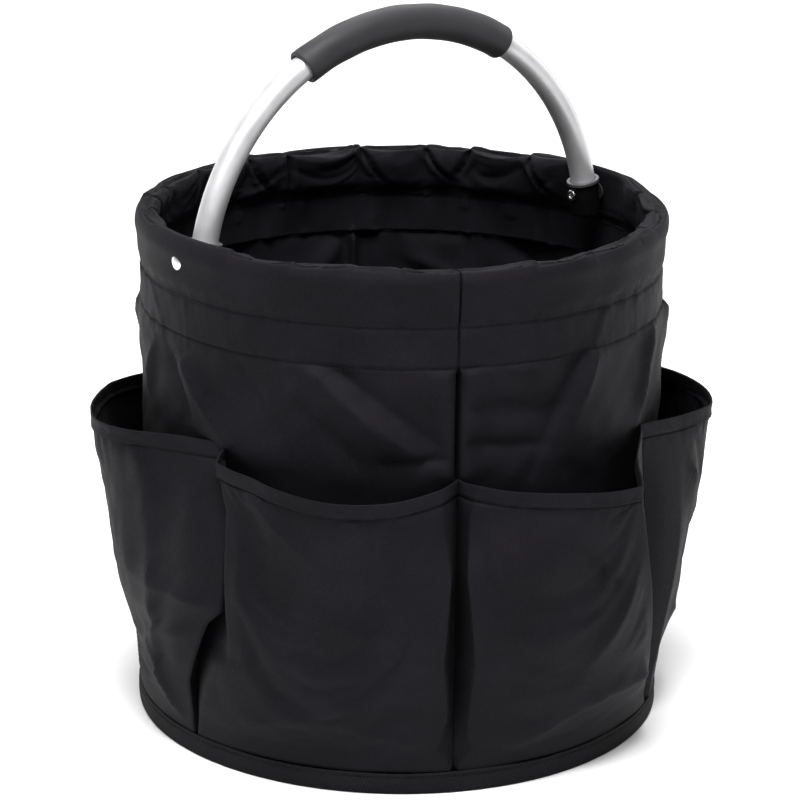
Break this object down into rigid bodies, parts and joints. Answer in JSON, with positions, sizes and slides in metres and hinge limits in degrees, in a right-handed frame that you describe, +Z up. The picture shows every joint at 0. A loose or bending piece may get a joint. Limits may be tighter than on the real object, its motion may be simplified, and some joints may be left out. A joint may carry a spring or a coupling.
{
  "type": "garden tool bag",
  "caption": "Round black fabric tub with bellows pockets all round, a gathered hooped rim and a bent aluminium handle with a foam grip that folds into the mouth.",
  "frame": {"origin": "centre of the underside, on the surface the bag stands on", "axes": "+Z up, +X along the handle's pivot axis from the left rivet to the right one"},
  "size_m": [0.3666, 0.374, 0.428],
  "materials": {
    "oxford_fabric": "matte",
    "facing_fabric": "matte",
    "binding_tape": "matte",
    "base_board": "matte",
    "hoop_plastic": "satin",
    "clip_steel": "satin",
    "satin_aluminium": "satin",
    "grip_foam": "matte",
    "socket_plastic": "satin",
    "collar_plastic": "satin",
    "rivet_metal": "satin",
    "washer_nylon": "satin"
  },
  "bodies": {
    "bag": {"body_panel_left": "oxford_fabric", "body_panel_right": "oxford_fabric", "base_fabric": "oxford_fabric", "rim_facing": "facing_fabric", "base_lining": "facing_fabric", "base_binding": "binding_tape", "base_board": "base_board", "rim_hoop": "hoop_plastic", "hoop_clip": "clip_steel", "rivet_left": "rivet_metal", "rivet_right": "rivet_metal", "pivot_washer_left": "washer_nylon", "pivot_washer_right": "washer_nylon", "pocket_1": "oxford_fabric", "pocket_2": "oxford_fabric", "pocket_3": "oxford_fabric", "pocket_4": "oxford_fabric", "pocket_5": "oxford_fabric", "pocket_6": "oxford_fabric"},
    "handle": {"handle_tube": "satin_aluminium", "foam_grip": "grip_foam", "handle_socket_left": "socket_plastic", "handle_socket_right": "socket_plastic", "socket_collar_left": "collar_plastic", "socket_collar_right": "collar_plastic"}
  },
  "joints": [
    {"name": "handle_fold", "type": "hinge", "parent": "bag", "child": "handle", "pos_m": [0, 0, 0.2965], "axis": [1, 0, 0], "range_deg": [-90, 90]}
  ]
}
